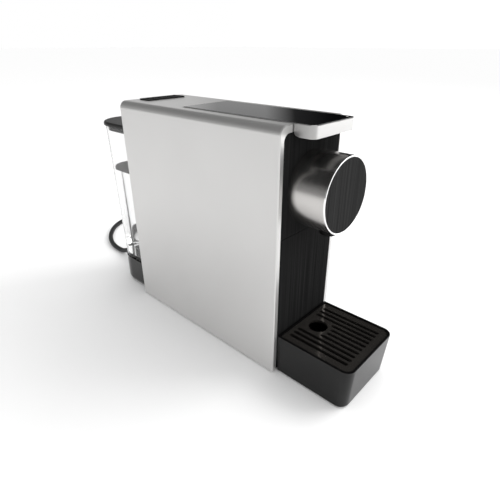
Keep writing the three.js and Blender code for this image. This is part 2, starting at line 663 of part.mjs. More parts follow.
function valvePlunger() {
  return turnedZ([
    [0, 32.2], [2.8, 32.2], [3, 45.1], [6.8, 45.1], [6.8, 46.3], [1.5, 46.3], [1.5, 48.6], [0, 48.6],
  ], 16);
}

function valveCap() {
  const outline = [[8.2, 47.3], [10, 47.3], [10, 52], [9.2, 52.8], [0, 52.8], [0, 51], [8.2, 51]];
  const inlet = x => box(x - 0.8, x + 0.8, -6, 6, 45, 60);
  return cut(turnedZ(outline, 24), inlet(-4.5), inlet(0), inlet(4.5));
}

function valveSpring() {
  const [turns, radius, height, steps] = [2.5, 4, 3.3, 25];
  const points = Array.from({ length: steps + 1 }, (_, i) => {
    const angle = (turns * i * 2 * Math.PI) / steps;
    return [radius * Math.cos(angle), radius * Math.sin(angle), 47 + (height * i) / steps];
  });
  return tube(points, 0.4, steps, 4);
}

// ---------- drawer, tray and grille ----------
function capsuleBin() {
  const { halfWidth, rear, bottom, top, wall } = BIN;
  const front = 4.2;
  const w = halfWidth - wall;
  const outside = roundedRectangle(-halfWidth, halfWidth, bottom, top, [4, 4, 0, 0]);
  const inside = roundedRectangle(-w, w, bottom + wall, top + 5, [3, 3, 0, 0]);
  return cut(prismY(outside, front, rear), prismY(inside, front + wall, rear - wall));
}
const drawerFront = () => prismY(arch(RIM.halfInside - GAP, SEAM - GAP, 0.5, 5.5), 0.6, 3.9);

function trayPlan(z, inset) {
  const t = (z - TRAY.bottom) / (TRAY.top - TRAY.bottom);
  const w = THREE.MathUtils.lerp(TRAY.halfWidth - 1.6, TRAY.halfWidth, t) - inset;
  const front = THREE.MathUtils.lerp(TRAY.front + 3.3, TRAY.front, t) + inset;
  const r = TRAY.corner - inset;
  return outlineOf(roundedRectangle(-w, w, front, TRAY.rear - inset, [r, r, 1, 1]), 6);
}

function dripTray() {
  const level = ([z, inset]) => ({ z, outline: trayPlan(z, inset) });
  const { bottom, top, wall } = TRAY;
  const body = loft([[bottom, 1.2], [bottom + 1.6, 0], [top - 0.35, 0], [top, 0.35]].map(level));
  const well = loft([[3, 4.6], [GRILLE.z - GAP + 0.1, 4.6]].map(level));
  const seat = loft([[GRILLE.z - GAP, wall], [top + 2, wall]].map(level));
  return cut(body, well, seat);
}

function dripGrille() {
  const { z, thickness, slotPitch, slotWidth, hole, margin } = GRILLE;
  const inset = TRAY.wall + 0.5;
  const w = TRAY.halfWidth - inset;
  const shape = roundedRectangle(-w, w, TRAY.front + inset, TRAY.rear - inset, [7, 7, 1, 1]);
  const [slotFront, slotRear] = [-70.3, -7];
  const holeY = SPOUT.y + 1;
  const addSlot = (x, y0, y1) => {
    const path = new THREE.Path();
    const r = slotWidth / 2;
    path.absarc(x, y1 - r, r, 0, Math.PI);
    path.absarc(x, y0 + r, r, Math.PI, 2 * Math.PI);
    shape.holes.push(path);
  };
  for (let i = -5; i < 5; i++) {
    const x = (i + 0.5) * slotPitch;
    const nearest = Math.abs(x) - slotWidth / 2;
    // the middle slots stop at the margin round the hole
    const blocked = nearest < margin;
    addSlot(x, slotFront, blocked ? holeY - Math.sqrt(margin ** 2 - nearest ** 2) : slotRear);
  }
  roundHole(shape, 0, holeY, hole, 36);
  return prismZ(shape, z, z + thickness, 4);
}

// ---------- mains lead ----------
function strainRelief() {
  const { start, end } = RELIEF;
  const [flange, neck, collar] = [5.9, 5, 7];
  return turnedY([
    [0, start - 1.2], [flange, start - 1.2], [flange, start + 0.3], [neck, start + 0.3], [neck, 284.9],
    [collar, 284.9], [collar, 287.5], [5.6, 289], [4.2, end], [0, end],
  ], 20).translate(0, 0, RELIEF.z);
}

// From the strain relief down to the table, round in a loose loop and back to the coil.
const TABLE_Z = 3.6; // height of the lead's middle while it lies on the table
const LEAD_ROUTE = [
  [0, 310.7, 13], [0, 316, 12.6], [-0.4, 324, 10.4], [-0.9, 333, 7], [-1.4, 342, 4.3],
  [-1.7, 352, TABLE_Z], [-0.6, 366, TABLE_Z], [4.2, 384, TABLE_Z], [13, 402.5, TABLE_Z],
  [25.5, 420, TABLE_Z], [40, 434.5, TABLE_Z], [56, 444.5, TABLE_Z], [74, 449.5, TABLE_Z],
  [93, 449, TABLE_Z], [112, 442, TABLE_Z], [128.5, 429, TABLE_Z], [140.5, 411.5, TABLE_Z],
  [146.4, 392, TABLE_Z], [147.3, 378.5, TABLE_Z],
];
const mainsLead = () => tube(LEAD_ROUTE, CORD.radius, 48, 8);

// Outer shape of the coil: two turns side by side on the table, and part of a third on top.
function cordCoil() {
  const { coilRadius: r, coilHeight: top } = CORD;
  return turnedZ([
    [r - 7.2, 0.1], [r + 7.2, 0.1], [r + 7.2, 8], [r + 5, top], [r - 5, top], [r - 7.2, 8],
  ], 32);
}

// A plain earthed plug lying beside the coil, its pins towards the machine.
function powerPlug() {
  const [tail, back, face, pins, z] = [78, 62, 32, 14, 12.1];
  const body = prismX(roundedRectangle(-15.5, 15.5, -12, 12, [5, 5, 5, 5]), face, back, 5);
  const taper = turnedX([[0, back - 1], [10, back - 1], [4.6, tail], [0, tail]], 20);
  const blade = (y, dz) => box(pins, face + 1, y - 3.1, y + 3.1, dz - 0.8, dz + 0.8);
  const plug = join(body, taper, blade(-7.5, -4), blade(7.5, -4), blade(0, 5));
  return plug.translate(0, CORD.coilY - 44, z);
}

// ---------- assembly ----------
named('outer_shell', outerShell(), 'silver', machine);
named('base_plate', basePlate(), 'black', machine);
named('rear_panel', rearPanel(), 'black', machine);
named('front_panel', frontPanel(), 'panel', machine);
named('vent_grille', ventGrille(), 'black', machine);
[[-31, 16], [31, 16], [-31, 202], [31, 202]].forEach(([x, y], i) => {
  named(`foot_${i + 1}`, foot(), 'rubber', groupAt(x, y, 0));
});

const brewAxis = groupAt(0, 0, BREW_Z);
named('nose_barrel', noseBarrel(), 'brushed', brewAxis);
named('nose_bezel', noseBezel(), 'polished', brewAxis);
named('nose_face', noseFace(), 'panel', brewAxis);
named('brew_head', brewHead(), 'black', brewAxis);
named('brew_piston', brewPiston(), 'smoke', brewAxis);
named('piston_seal', pistonSeal(), 'rubber', brewAxis);
named('coffee_spout', coffeeSpout(), 'black', machine);
named('brew_frame', brewFrame(), 'smoke', machine);
named('capsule_deck', capsuleDeck(), 'black', machine);
named('piston_cross_pin', pin(), 'steel', groupAt(0, PISTON.crossPinY, PISTON.crossPinZ));

const leverAxis = groupAt(0, HINGE.y, HINGE.z);
named('lever_frame', leverFrame(), 'silver', leverAxis);
named('lever_glass', leverGlass(), 'gloss', leverAxis);
named('lever_liner', leverLiner(), 'black', leverAxis);
named('indicator_lens', indicatorLens(), 'lamp', leverAxis);
named('touch_board', touchBoard(), 'circuit', leverAxis);
named('lever_cam_left', leverCam(-1), 'steel', leverAxis);
named('lever_cam_right', leverCam(1), 'steel', leverAxis);
named('lever_hinge_pin', pin(), 'steel', leverAxis);

const pumpAxis = groupAt(PUMP.x, 0, PUMP.z);
named('water_pump', waterPump(), 'white', pumpAxis);
named('pump_mount_front', pumpMount(), 'rubber', groupAt(0, 136, 0, pumpAxis));
named('pump_mount_rear', pumpMount(), 'rubber', groupAt(0, 196, 0, pumpAxis));
named('thermoblock', thermoblock(), 'cast', brewAxis);
named('thermostat', thermostat(), 'white', groupAt(-8, 178, 0, brewAxis));
named('flow_meter', flowMeter(), 'white', groupAt(VALVE.x, 172, SUCTION_Z));
named('control_board', controlBoard(), 'circuit', machine);
named('suction_hose', suctionHose(), 'clear', machine);
named('pump_hose', pumpHose(), 'clear', machine);
named('pressure_hose', pressureHose(), 'white', machine);
named('brew_hose', brewHose(), 'white', machine);

named('tank_stand', tankStand(), 'smoke', machine);
named('stand_cover', standCover(), 'black', machine);
COVER_SCREWS.forEach(([x, y], i) => named(`cover_screw_${i + 1}`, coverScrew(), 'steel', groupAt(x, y, 0)));
const valveAxis = groupAt(VALVE.x, VALVE.y, 0);
named('tank_socket', tankSocket(), 'black', valveAxis);
named('tank_seal', tankSeal(), 'rubber', valveAxis);
named('water_tank', waterTank(), 'clear', machine);
named('tank_lid', tankLid(), 'smoke', machine);
named('tank_valve_body', valveBody(), 'black', valveAxis);
named('tank_valve_plunger', valvePlunger(), 'white', valveAxis);
named('tank_valve_cap', valveCap(), 'black', valveAxis);
named('tank_valve_spring', valveSpring(), 'steel', valveAxis);

named('capsule_bin', capsuleBin(), 'black', machine);
named('drawer_front', drawerFront(), 'panel', machine);
named('drip_tray', dripTray(), 'black', machine);
named('drip_grille', dripGrille(), 'black', machine);

named('strain_relief', strainRelief(), 'rubber', machine);
named('power_cord', mainsLead(), 'rubber', machine);
named('cord_coil', cordCoil(), 'rubber', groupAt(CORD.coilX, CORD.coilY, 0));
named('power_plug', powerPlug(), 'black', machine);

export default machine;
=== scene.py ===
# Looks for a slim pod coffee machine: silver shell, brushed nose, glossy lever top, water tank
# and mains lead. Everything is in metres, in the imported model's frame: -Y is the front, +Z is up
# and z = 0 is the table. Tables of drawing points are in millimetres.
import json
import math

import bmesh
import bpy
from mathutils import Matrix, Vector


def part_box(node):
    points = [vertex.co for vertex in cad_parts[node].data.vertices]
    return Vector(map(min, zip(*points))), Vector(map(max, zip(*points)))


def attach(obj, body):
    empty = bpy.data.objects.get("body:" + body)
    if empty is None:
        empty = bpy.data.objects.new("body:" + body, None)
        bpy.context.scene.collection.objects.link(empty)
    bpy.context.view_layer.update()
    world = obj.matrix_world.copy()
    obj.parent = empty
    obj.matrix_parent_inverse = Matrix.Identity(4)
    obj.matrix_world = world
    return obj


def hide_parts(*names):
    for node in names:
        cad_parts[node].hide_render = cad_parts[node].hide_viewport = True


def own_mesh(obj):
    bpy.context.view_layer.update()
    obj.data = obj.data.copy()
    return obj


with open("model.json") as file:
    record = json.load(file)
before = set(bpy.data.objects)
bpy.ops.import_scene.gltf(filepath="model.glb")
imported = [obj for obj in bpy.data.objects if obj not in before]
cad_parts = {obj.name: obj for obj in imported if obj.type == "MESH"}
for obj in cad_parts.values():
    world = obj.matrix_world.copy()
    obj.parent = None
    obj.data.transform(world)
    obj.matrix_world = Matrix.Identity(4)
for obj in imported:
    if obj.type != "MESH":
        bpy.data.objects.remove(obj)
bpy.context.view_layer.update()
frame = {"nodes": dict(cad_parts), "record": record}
MM = 0.001
SHIFT = -107.1  # millimetres from the drawing's zero, the shell's front edge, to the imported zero


def placed(points):
    """Points of the drawing, in millimetres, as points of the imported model, in metres."""
    return [(x * MM, (y + SHIFT) * MM, z * MM) for x, y, z in points]


# ---------- mesh helpers ----------
def link(name, data):
    added = bpy.data.objects.new(name, data)
    bpy.context.scene.collection.objects.link(added)
    return added


def finish_piece(piece, body, material, replaced=()):
    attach(piece, body)
    piece.data.materials.clear()
    piece.data.materials.append(material)
    if replaced:
        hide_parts(*replaced)


def smooth(mesh, angle=40):
    mesh.shade_smooth()
    mesh.set_sharp_from_angle(angle=math.radians(angle))


def mesh_piece(name, vertices, faces, angle=40):
    mesh = bpy.data.meshes.new(name)
    mesh.from_pydata(vertices, [], faces)
    b = bmesh.new()
    b.from_mesh(mesh)
    bmesh.ops.recalc_face_normals(b, faces=b.faces)
    b.to_mesh(mesh)
    b.free()
    smooth(mesh, angle)
    return link(name, mesh)


def lathe(name, outline, centre, angle=40, segments=160):
    """Turns a closed outline of (radius, y) pairs about the line along Y through centre."""
    vertices, rings = [], []
    for radius, along in outline:
        ring = []
        for i in range(segments if radius > 0 else 1):
            turn = 2 * math.pi * i / segments
            ring.append(len(vertices))
            place = Vector((radius * math.cos(turn), along, radius * math.sin(turn)))
            vertices.append(Vector(centre) + place)
        rings.append(ring)
    faces = []
    for low, high in zip(rings, rings[1:] + rings[:1]):
        for i in range(segments):
            pairs = ((low, i), (low, i + 1), (high, i + 1), (high, i))
            corners = list(dict.fromkeys(ring[k % len(ring)] for ring, k in pairs))
            if len(corners) > 2:
                faces.append(corners)
    return mesh_piece(name, vertices, faces, angle)


def arc(centre, radius, start, end, steps):
    """Points on an arc, angles in degrees."""
    turns = (math.radians(start + (end - start) * i / steps) for i in range(steps + 1))
    return [(centre[0] + radius * math.cos(t), centre[1] + radius * math.sin(t)) for t in turns]


def loft(name, sections):
    """Joins closed outlines with equally many points, as (height, points), and caps both ends."""
    count = len(sections[0][1])
    vertices = [(x, y, z) for z, outline in sections for x, y in outline]
    faces = []
    for s in range(len(sections) - 1):
        for i in range(count):
            a, b = s * count + i, s * count + (i + 1) % count
            faces.append((a, b, b + count, a + count))
    faces.append(tuple(range(count)))
    faces.append(tuple(range((len(sections) - 1) * count, len(sections) * count)))
    return mesh_piece(name, vertices, faces)


def curve_points(route, per_span):
    """A smooth centripetal curve through every point of route."""
    points = [Vector(p) for p in route]
    points = [2 * points[0] - points[1], *points, 2 * points[-1] - points[-2]]
    found = []
    for a, b, c, d in zip(points, points[1:], points[2:], points[3:]):
        t = [0.0]
        for p, q in ((a, b), (b, c), (c, d)):
            t.append(t[-1] + math.sqrt((q - p).length))
        for i in range(per_span):
            u = t[1] + (t[2] - t[1]) * i / per_span
            ab = a * ((t[1] - u) / (t[1] - t[0])) + b * ((u - t[0]) / (t[1] - t[0]))
            bc = b * ((t[2] - u) / (t[2] - t[1])) + c * ((u - t[1]) / (t[2] - t[1]))
            cd = c * ((t[3] - u) / (t[3] - t[2])) + d * ((u - t[2]) / (t[3] - t[2]))
            low = ab * ((t[2] - u) / (t[2] - t[0])) + bc * ((u - t[0]) / (t[2] - t[0]))
            high = bc * ((t[3] - u) / (t[3] - t[1])) + cd * ((u - t[1]) / (t[3] - t[1]))
            found.append(low * ((t[2] - u) / (t[2] - t[1])) + high * ((u - t[1]) / (t[2] - t[1])))
    found.append(points[-2])
    return found


def tube(name, route, radius, per_span=8):
    """A round tube along a route, with per_span straight pieces between two of its points."""
    curve = bpy.data.curves.new(name, "CURVE")
    curve.dimensions = "3D"
    curve.bevel_depth = 1
    curve.bevel_resolution = 5
    curve.use_fill_caps = True
    points = curve_points(route, per_span)
    spline = curve.splines.new("POLY")
    spline.points.add(len(points) - 1)
    for place, p in zip(spline.points, points):
        place.co = (*p, 1)
        place.radius = radius
    spline.use_smooth = True
    return link(name, curve)


# ---------- materials ----------
def new_material(name, color, roughness, metallic=0.0, **sockets):
    material = bpy.data.materials.new(name)
    material.use_nodes = True
    shader = material.node_tree.nodes["Principled BSDF"]
    values = {"Base Color": (*color, 1), "Roughness": roughness, "Metallic": metallic}
    values.update({k.replace("_", " "): v for k, v in sockets.items()})
    for socket, value in values.items():
        shader.inputs[socket].default_value = value
    return material


def noise(material, stretch, detail=3.0):
    """Noise over object space. Stretch is how many times per metre it changes along x, y and z."""
    tree = material.node_tree
    where = tree.nodes.new("ShaderNodeTexCoord")
    mapping = tree.nodes.new("ShaderNodeMapping")
    mapping.inputs["Scale"].default_value = stretch
    texture = tree.nodes.new("ShaderNodeTexNoise")
    texture.inputs["Scale"].default_value = 1.0
    texture.inputs["Detail"].default_value = detail
    tree.links.new(where.outputs["Object"], mapping.inputs["Vector"])
    tree.links.new(mapping.outputs["Vector"], texture.inputs["Vector"])
    return texture.outputs["Fac"]


NOISE_LOW, NOISE_HIGH = 0.3, 0.7  # nearly all values of a noise lie between these


def vary_roughness(material, value, low, high):
    tree = material.node_tree
    node = tree.nodes.new("ShaderNodeMapRange")
    node.inputs["From Min"].default_value = NOISE_LOW
    node.inputs["From Max"].default_value = NOISE_HIGH
    node.inputs["To Min"].default_value = low
    node.inputs["To Max"].default_value = high
    tree.links.new(value, node.inputs["Value"])
    tree.links.new(node.outputs["Result"], tree.nodes["Principled BSDF"].inputs["Roughness"])


def vary_color(material, value, dark, light):
    tree = material.node_tree
    ramp = tree.nodes.new("ShaderNodeValToRGB")
    stops = ((NOISE_LOW, dark), (NOISE_HIGH, light))
    for element, (place, color) in zip(ramp.color_ramp.elements, stops):
        element.position = place
        element.color = (*color, 1)
    tree.links.new(value, ramp.inputs["Fac"])
    tree.links.new(ramp.outputs["Color"], tree.nodes["Principled BSDF"].inputs["Base Color"])


def bump(material, value, depth):
    """Unevenness of the surface, with its depth in metres."""
    tree = material.node_tree
    node = tree.nodes.new("ShaderNodeBump")
    node.inputs["Strength"].default_value = 1.0
    node.inputs["Distance"].default_value = depth
    tree.links.new(value, node.inputs["Height"])
    tree.links.new(node.outputs["Normal"], tree.nodes["Principled BSDF"].inputs["Normal"])


def tinted(color, factor):
    return tuple(part * factor for part in color)


def satin_silver(name, tone):
    """Silver paint: very fine flecks in its gloss, and a faint cloudiness."""
    color = (tone, tone * 0.992, tone * 0.98)
    m = new_material(name, color, 0.32, 0.72)
    fleck = noise(m, (5200, 5200, 5200), 2)
    cloud = noise(m, (14, 14, 14), 1)
    vary_color(m, cloud, tinted(color, 0.985), tinted(color, 1.015))
    vary_roughness(m, fleck, 0.29, 0.35)
    bump(m, fleck, 0.000004)
    return m


def brushed_rings():
    """Metal turned on a lathe: fine rings, which follow one another along Y."""
    m = new_material("brushed_rings", (0.57, 0.555, 0.54), 0.25, 1.0)
    rings = noise(m, (1.5, 5200, 1.5), 2)
    vary_color(m, rings, (0.55, 0.535, 0.52), (0.59, 0.575, 0.56))
    vary_roughness(m, rings, 0.23, 0.27)
    bump(m, rings, 0.000002)
    return m


def ribbed_black(name, low, high):
    """Black plastic with faint uneven upright lines, which go with the ribs made by front_ribs."""
    m = new_material(name, low, 0.45, Specular_IOR_Level=0.0)
    lines = noise(m, (620, 620, 7), 3)
    vary_color(m, lines, low, high)
    vary_roughness(m, lines, 0.4, 0.52)
    bump(m, lines, 0.00004)
    return m


def moulded(name, color, roughness=0.45, grain=2600, depth=0.000006, **sockets):
    """Moulded plastic with a fine grain and slight variation in its colour."""
    m = new_material(name, color, roughness, **sockets)
    fine = noise(m, (grain, grain, grain), 2)
    cloud = noise(m, (40, 40, 40), 2)
    vary_color(m, cloud, tinted(color, 0.9), tinted(color, 1.1))
    vary_roughness(m, fine, roughness * 0.88, roughness * 1.12)
    bump(m, fine, depth)
    return m


def black_glass():
    m = new_material("black_glass", (0.004, 0.004, 0.0045), 0.04)
    vary_roughness(m, noise(m, (90, 90, 90)), 0.03, 0.06)
    return m


def clear_plastic():
    m = new_material("clear_plastic", (0.96, 0.96, 0.96), 0.03, Transmission_Weight=1.0, IOR=1.22)
    vary_roughness(m, noise(m, (70, 70, 30)), 0.0, 0.04)
    return m


def water():
    m = new_material("water", (0.93, 0.932, 0.932), 0.02, Transmission_Weight=1.0, IOR=1.33)
    vary_roughness(m, noise(m, (30, 30, 30), 1), 0.0, 0.03)
    return m


def water_surface():
    """The water's surface, painted near black: painted shade and reflection that stand in for how the
    clear water looks from above.
    """
    # the near-black base colour is painted shade and reflection, not a colour the water has
    m = new_material("water_surface", (0.008, 0.0075, 0.007), 0.12, Specular_IOR_Level=0.05)
    bump(m, noise(m, (90, 90, 1), 1), 0.0001)
    return m


def metal(name, color, roughness, grain=900, change=0.2):
    m = new_material(name, color, roughness, 1.0)
    uneven = noise(m, (grain, grain, grain))
    vary_roughness(m, uneven, roughness * (1 - change), roughness * (1 + change))
    return m


MATERIALS = {
    "silver": satin_silver("satin_silver", 0.645),
    "brushed": brushed_rings(),
    "chrome": metal("polished_metal", (0.86, 0.86, 0.86), 0.1, grain=60, change=0.4),
    "panel": ribbed_black("ribbed_panel", (0.009, 0.009, 0.0091), (0.0195, 0.0195, 0.0196)),
    "black": moulded("black_plastic", (0.004, 0.004, 0.004), 0.5, Specular_IOR_Level=0.08),
    "tray": moulded("tray_plastic", (0.003, 0.003, 0.003), 0.22, Specular_IOR_Level=0.25),
    "grille": moulded("grille_plastic", (0.2, 0.185, 0.17), 0.12, depth=0.000002, Metallic=0.92),
    "gloss": black_glass(),
    "lamp": moulded("lamp_lens", (0.85, 0.85, 0.82), 0.3, depth=0.000002),
    "smoke": moulded("smoke_plastic", (0.023, 0.0226, 0.0222), 0.36, Specular_IOR_Level=0.13),
    "frame_plastic": moulded("frame_plastic", (0.05, 0.05, 0.05), 0.5),
    "clear": clear_plastic(),
    "hose": moulded("silicone", (0.6, 0.6, 0.56), 0.35),
    "white": moulded("white_plastic", (0.72, 0.72, 0.69), 0.45),
    "steel": metal("bright_steel", (0.55, 0.55, 0.55), 0.28),
    "cast": metal("cast_aluminium", (0.5, 0.5, 0.5), 0.5),
    "rubber": moulded("rubber", (0.026, 0.026, 0.0265), 0.6),
    "circuit": moulded("circuit_board", (0.02, 0.1, 0.045), 0.35),
}
OWN_LOOK = {  # nodes that look a little different from others of the same material
    # the shell's satin silver made darker for the lever: painted shade that tones down how bright its
    # reflections come out
    "lever_frame": satin_silver("lever_silver_painted_shade", 0.45),
    "tank_stand": moulded("stand_plastic", (0.014, 0.0137, 0.0134), 0.16,
                          depth=0.000002, Specular_IOR_Level=0.3),
    "touch_board": moulded("black_circuit_board", (0.007, 0.008, 0.0075), 0.35),
}
WATER = water()
SURFACE = water_surface()
FACE = ribbed_black("ribbed_face", (0.02, 0.02, 0.0201), (0.038, 0.038, 0.0381))


# ---------- CAD nodes that keep their shape ----------
SOFT_EDGE, FINE_EDGE = 0.3 * MM, 0.12 * MM
SMALL_NODES = {
    "tank_valve_spring", "tank_seal", "piston_seal", "indicator_lens", "lever_glass", "touch_board",
}


def dress_cad_nodes():
    """Gives every CAD node its material and slightly rounded edges."""
    slots = {s["node"]: s["material_slot"] for s in frame["record"]["subparts"]}
    for name, node in frame["nodes"].items():
        node.data.materials.clear()
        node.data.materials.append(OWN_LOOK.get(name, MATERIALS[slots[name]]))
        node.data.shade_smooth()
        flatten = node.modifiers.new("join_flat_faces", "DECIMATE")
        flatten.decimate_type = "DISSOLVE"
        flatten.angle_limit = math.radians(0.6)
        bevel = node.modifiers.new("soft_edges", "BEVEL")
        bevel.width = FINE_EDGE if name in SMALL_NODES else SOFT_EDGE
        bevel.segments = 2
        bevel.limit_method = "ANGLE"
        bevel.angle_limit = math.radians(38)
        bevel.use_clamp_overlap = True
        weigh = node.modifiers.new("even_shading", "WEIGHTED_NORMAL")
        weigh.keep_sharp = True


# ---------- nose ----------
def rounded_end(radius, end, edge):
    """A small rounded edge on the outside of a turned piece, at its end towards -Y."""
    turns = (math.pi * k / 8 for k in range(5))
    return [(radius - edge * (1 - math.cos(t)), end + edge * (1 - math.sin(t))) for t in turns]


def fine_nose():
    """The barrel as a brushed sleeve, a bright ring at its front, and a disc inside the ring."""
    low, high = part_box("nose_bezel")
    axis = ((low.x + high.x) / 2, 0, (low.z + high.z) / 2)
    radius, front = (high.x - low.x) / 2, low.y
    seat, back = (corner.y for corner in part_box("nose_barrel"))

    wall, flange, edge = radius - 2.5 * MM, radius - 5.6 * MM, 0.25 * MM
    flange_front = back - 2.5 * MM
    sleeve = lathe("nose_sleeve", [
        (flange, back), (radius, back), *rounded_end(radius, seat, edge),
        (wall, seat), (wall, flange_front), (flange, flange_front),
    ], axis)
    finish_piece(sleeve, "housing", MATERIALS["brushed"], ("nose_barrel",))

    inside, tongue = radius - 1.4 * MM, radius - 2.8 * MM
    bevel, ring_back, tongue_front = 0.15 * MM, seat - 0.06 * MM, front + 0.8 * MM
    ring = lathe("nose_ring", [
        (inside, front + bevel), (inside + bevel, front), (radius - edge, front),
        (radius - 0.07 * MM, front + 0.08 * MM), (radius, front + edge), (radius, ring_back),
        (tongue, ring_back), (tongue, tongue_front), (inside, tongue_front),
    ], axis, angle=60)
    finish_piece(ring, "housing", MATERIALS["chrome"], ("nose_bezel",))

    rim, disc_front = inside - 0.1 * MM, front + 0.2 * MM
    disc_back = disc_front + 0.5 * MM
    disc = lathe("nose_disc", [
        (0, disc_front), (rim - bevel, disc_front), (rim, disc_front + bevel),
        (rim, disc_back), (0, disc_back),
    ], axis)
    finish_piece(disc, "housing", FACE, ("nose_face",))


# ---------- ribs on the black front ----------
RIB_PITCH, RIB_BASE, RIB_CREST = 1.1 * MM, 0.8 * MM, 0.34 * MM
RIB_HEIGHT, RIB_SUNK = 0.13 * MM, 0.02 * MM  # out of the surface, and into it
RIB_MARGIN = 0.9 * MM  # between the ribs and the edges of the surface


def ribs(name, body, half_width, face, spans, material):
    """Upright ribs on a front at y = face. At each x, spans gives the heights that a rib covers."""
    profile = [(-RIB_BASE / 2, face + RIB_SUNK), (-RIB_CREST / 2, face - RIB_HEIGHT),
               (RIB_CREST / 2, face - RIB_HEIGHT), (RIB_BASE / 2, face + RIB_SUNK)]
    count = int(half_width / RIB_PITCH)
    vertices, faces = [], []
    for x in (i * RIB_PITCH for i in range(-count, count + 1)):
        for low, high in spans(x):
            bottom = [len(vertices) + k for k in range(4)]
            top = [corner + 4 for corner in bottom]
            vertices += [(x + across, y, z) for z in (low, high) for across, y in profile]
            sides = zip(bottom, bottom[1:] + bottom[:1], top[1:] + top[:1], top)
            faces += [bottom, top, *sides]
    finish_piece(mesh_piece(name, vertices, faces, angle=20), body, material)


def half_chord(radius, x):
    """Half the height of a circle at a distance x from its centre."""
    return math.sqrt(max(0.0, radius ** 2 - x ** 2))


def front_ribs():
    """Ribs on the panel, where the nose leaves it free, on the drawer's front and on the nose's face."""
    nose_low, nose_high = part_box("nose_barrel")
    axis_z = (nose_low.z + nose_high.z) / 2
    under_nose = (nose_high.x - nose_low.x) / 2 - 2 * MM  # the ribs end here, hidden by the nose
    low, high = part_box("front_panel")
    corner = 6.2 * MM  # radius of the panel's upper corners

    def panel_spans(x):
        start = low.z + RIB_MARGIN
        end = high.z - corner + half_chord(corner, max(0.0, abs(x) - high.x + corner)) - RIB_MARGIN
        if abs(x) >= under_nose:
            return [(start, end)]
        reach = half_chord(under_nose, x)
        parts = ((start, axis_z - reach), (axis_z + reach, end))
        return [part for part in parts if part[1] - part[0] > 1 * MM]

    ribs("panel_ribs", "housing", high.x - RIB_MARGIN, low.y, panel_spans, MATERIALS["panel"])

    drawer_low, drawer_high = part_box("drawer_front")
    drawer_span = (drawer_low.z + RIB_MARGIN, drawer_high.z - RIB_MARGIN)
    ribs("drawer_ribs", "drawer", drawer_high.x - RIB_MARGIN, drawer_low.y, lambda x: [drawer_span],
         MATERIALS["panel"])

    face_low, face_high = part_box("nose_face")
    radius = (face_high.x - face_low.x) / 2 - RIB_MARGIN
    ribs("face_ribs", "housing", radius, face_low.y,
         lambda x: [(axis_z - half_chord(radius, x), axis_z + half_chord(radius, x))], FACE)


# ---------- water ----------
WATER_LEVEL = 157 * MM


def tank_plan(half_width, front, rear, corner):
    """The tank seen from above: square at the front, with two large rounded corners at the rear."""
    side, steps = half_width - corner, 20
    return [(-half_width, front), (half_width, front),
            *arc((side, rear - corner), corner, 0, 90, steps),
            *arc((-side, rear - corner), corner, 90, 180, steps)]


def tank_water():
    """Water from just above the tank's floor to its level, and a thin separate surface on top."""
    low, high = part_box("water_tank")
    wall, corner = 2.4 * MM, 30 * MM  # the wall with the gap that keeps the water off it
    lean = 5.5 * MM  # the tank's rear leans out by this much from its floor to its rim

    def plan(z, inset=0.0):
        side = wall + inset
        rear = high.y - lean * (high.z - z) / (high.z - low.z)
        return tank_plan(high.x - side, low.y + side, rear - side, corner - side)

    bottom, chamfer = low.z + 2.9 * MM, 2 * MM
    skin, hairline = 0.8 * MM, 0.1 * MM
    top = WATER_LEVEL - skin - hairline
    body = loft("tank_water", [(z, plan(z, inset)) for z, inset in (
        (bottom, chamfer), (bottom + chamfer, 0), (top - hairline, 0), (top, 0))])
    finish_piece(body, "tank", WATER)
    outline, inner = plan(WATER_LEVEL), plan(WATER_LEVEL, 0.2 * MM)
    surface = loft("tank_water_surface", [
        (WATER_LEVEL - skin, outline), (WATER_LEVEL, outline), (WATER_LEVEL, inner)])
    finish_piece(surface, "tank", SURFACE)


# ---------- mains lead ----------
CORD_RADIUS = 3.5
LYING = 3.6  # height of the cord's centre where it lies on the table
LEAD_ROUTE = [
    (0, 310.7, 13), (0, 316, 12.6), (-0.4, 324, 10.4), (-0.9, 333, 7), (-1.4, 342, 4.3),
    *((x, y, LYING) for x, y in (
        (-1.7, 352), (-0.6, 366), (4.2, 384), (13, 402.5), (25.5, 420), (40, 434.5), (56, 444.5),
        (74, 449.4), (93, 448.9), (112, 442), (128.5, 429), (140.5, 411.5), (146.2, 392),
        (147, 378.5), (147.1, 364))),
]
COIL_CENTRE, COIL_RADIUS = (105, 350), 42
COIL_TURNING, COIL_STEP = 810, 22.5  # degrees


def eased(change, turned, start, stretch):
    """A change that comes in smoothly over a stretch of turning from start, both in degrees."""
    t = min(1, max(0, (turned - start) / stretch))
    return change * (1 - math.cos(math.pi * t)) / 2


def coil_route():
    """Two turns side by side, then up over them and out towards the plug, turning clockwise."""
    points = []
    for i in range(int(COIL_TURNING / COIL_STEP) + 1):
        turned = i * COIL_STEP
        second_turn = eased(-7, turned, 315, 90)
        way_out = eased(3.5, turned, 650, 75) + eased(5.5, turned, 735, 75)
        radius = COIL_RADIUS + second_turn + way_out
        height = LYING + eased(7.1, turned, 640, 75) + eased(1.4, turned, 745, 60)
        turn = math.radians(-turned)
        x, y = COIL_CENTRE[0] + radius * math.cos(turn), COIL_CENTRE[1] + radius * math.sin(turn)
        points.append((x, y, height))
    return points


def mains_lead():
    plug_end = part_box("power_plug")[1].x / MM - 4  # a little way inside the plug
    tail = [(x, 306, 12.1) for x in (97, 88, plug_end)]
    cord = tube("mains_cord", placed(LEAD_ROUTE + coil_route() + tail), CORD_RADIUS * MM, 6)
    finish_piece(cord, "housing", MATERIALS["rubber"], ("power_cord", "cord_coil"))


# ---------- hoses ----------
def hose(node, slot, radius, points):
    piece = tube(node + "_line", placed(points), radius * MM)
    finish_piece(piece, "housing", MATERIALS[slot], (node,))


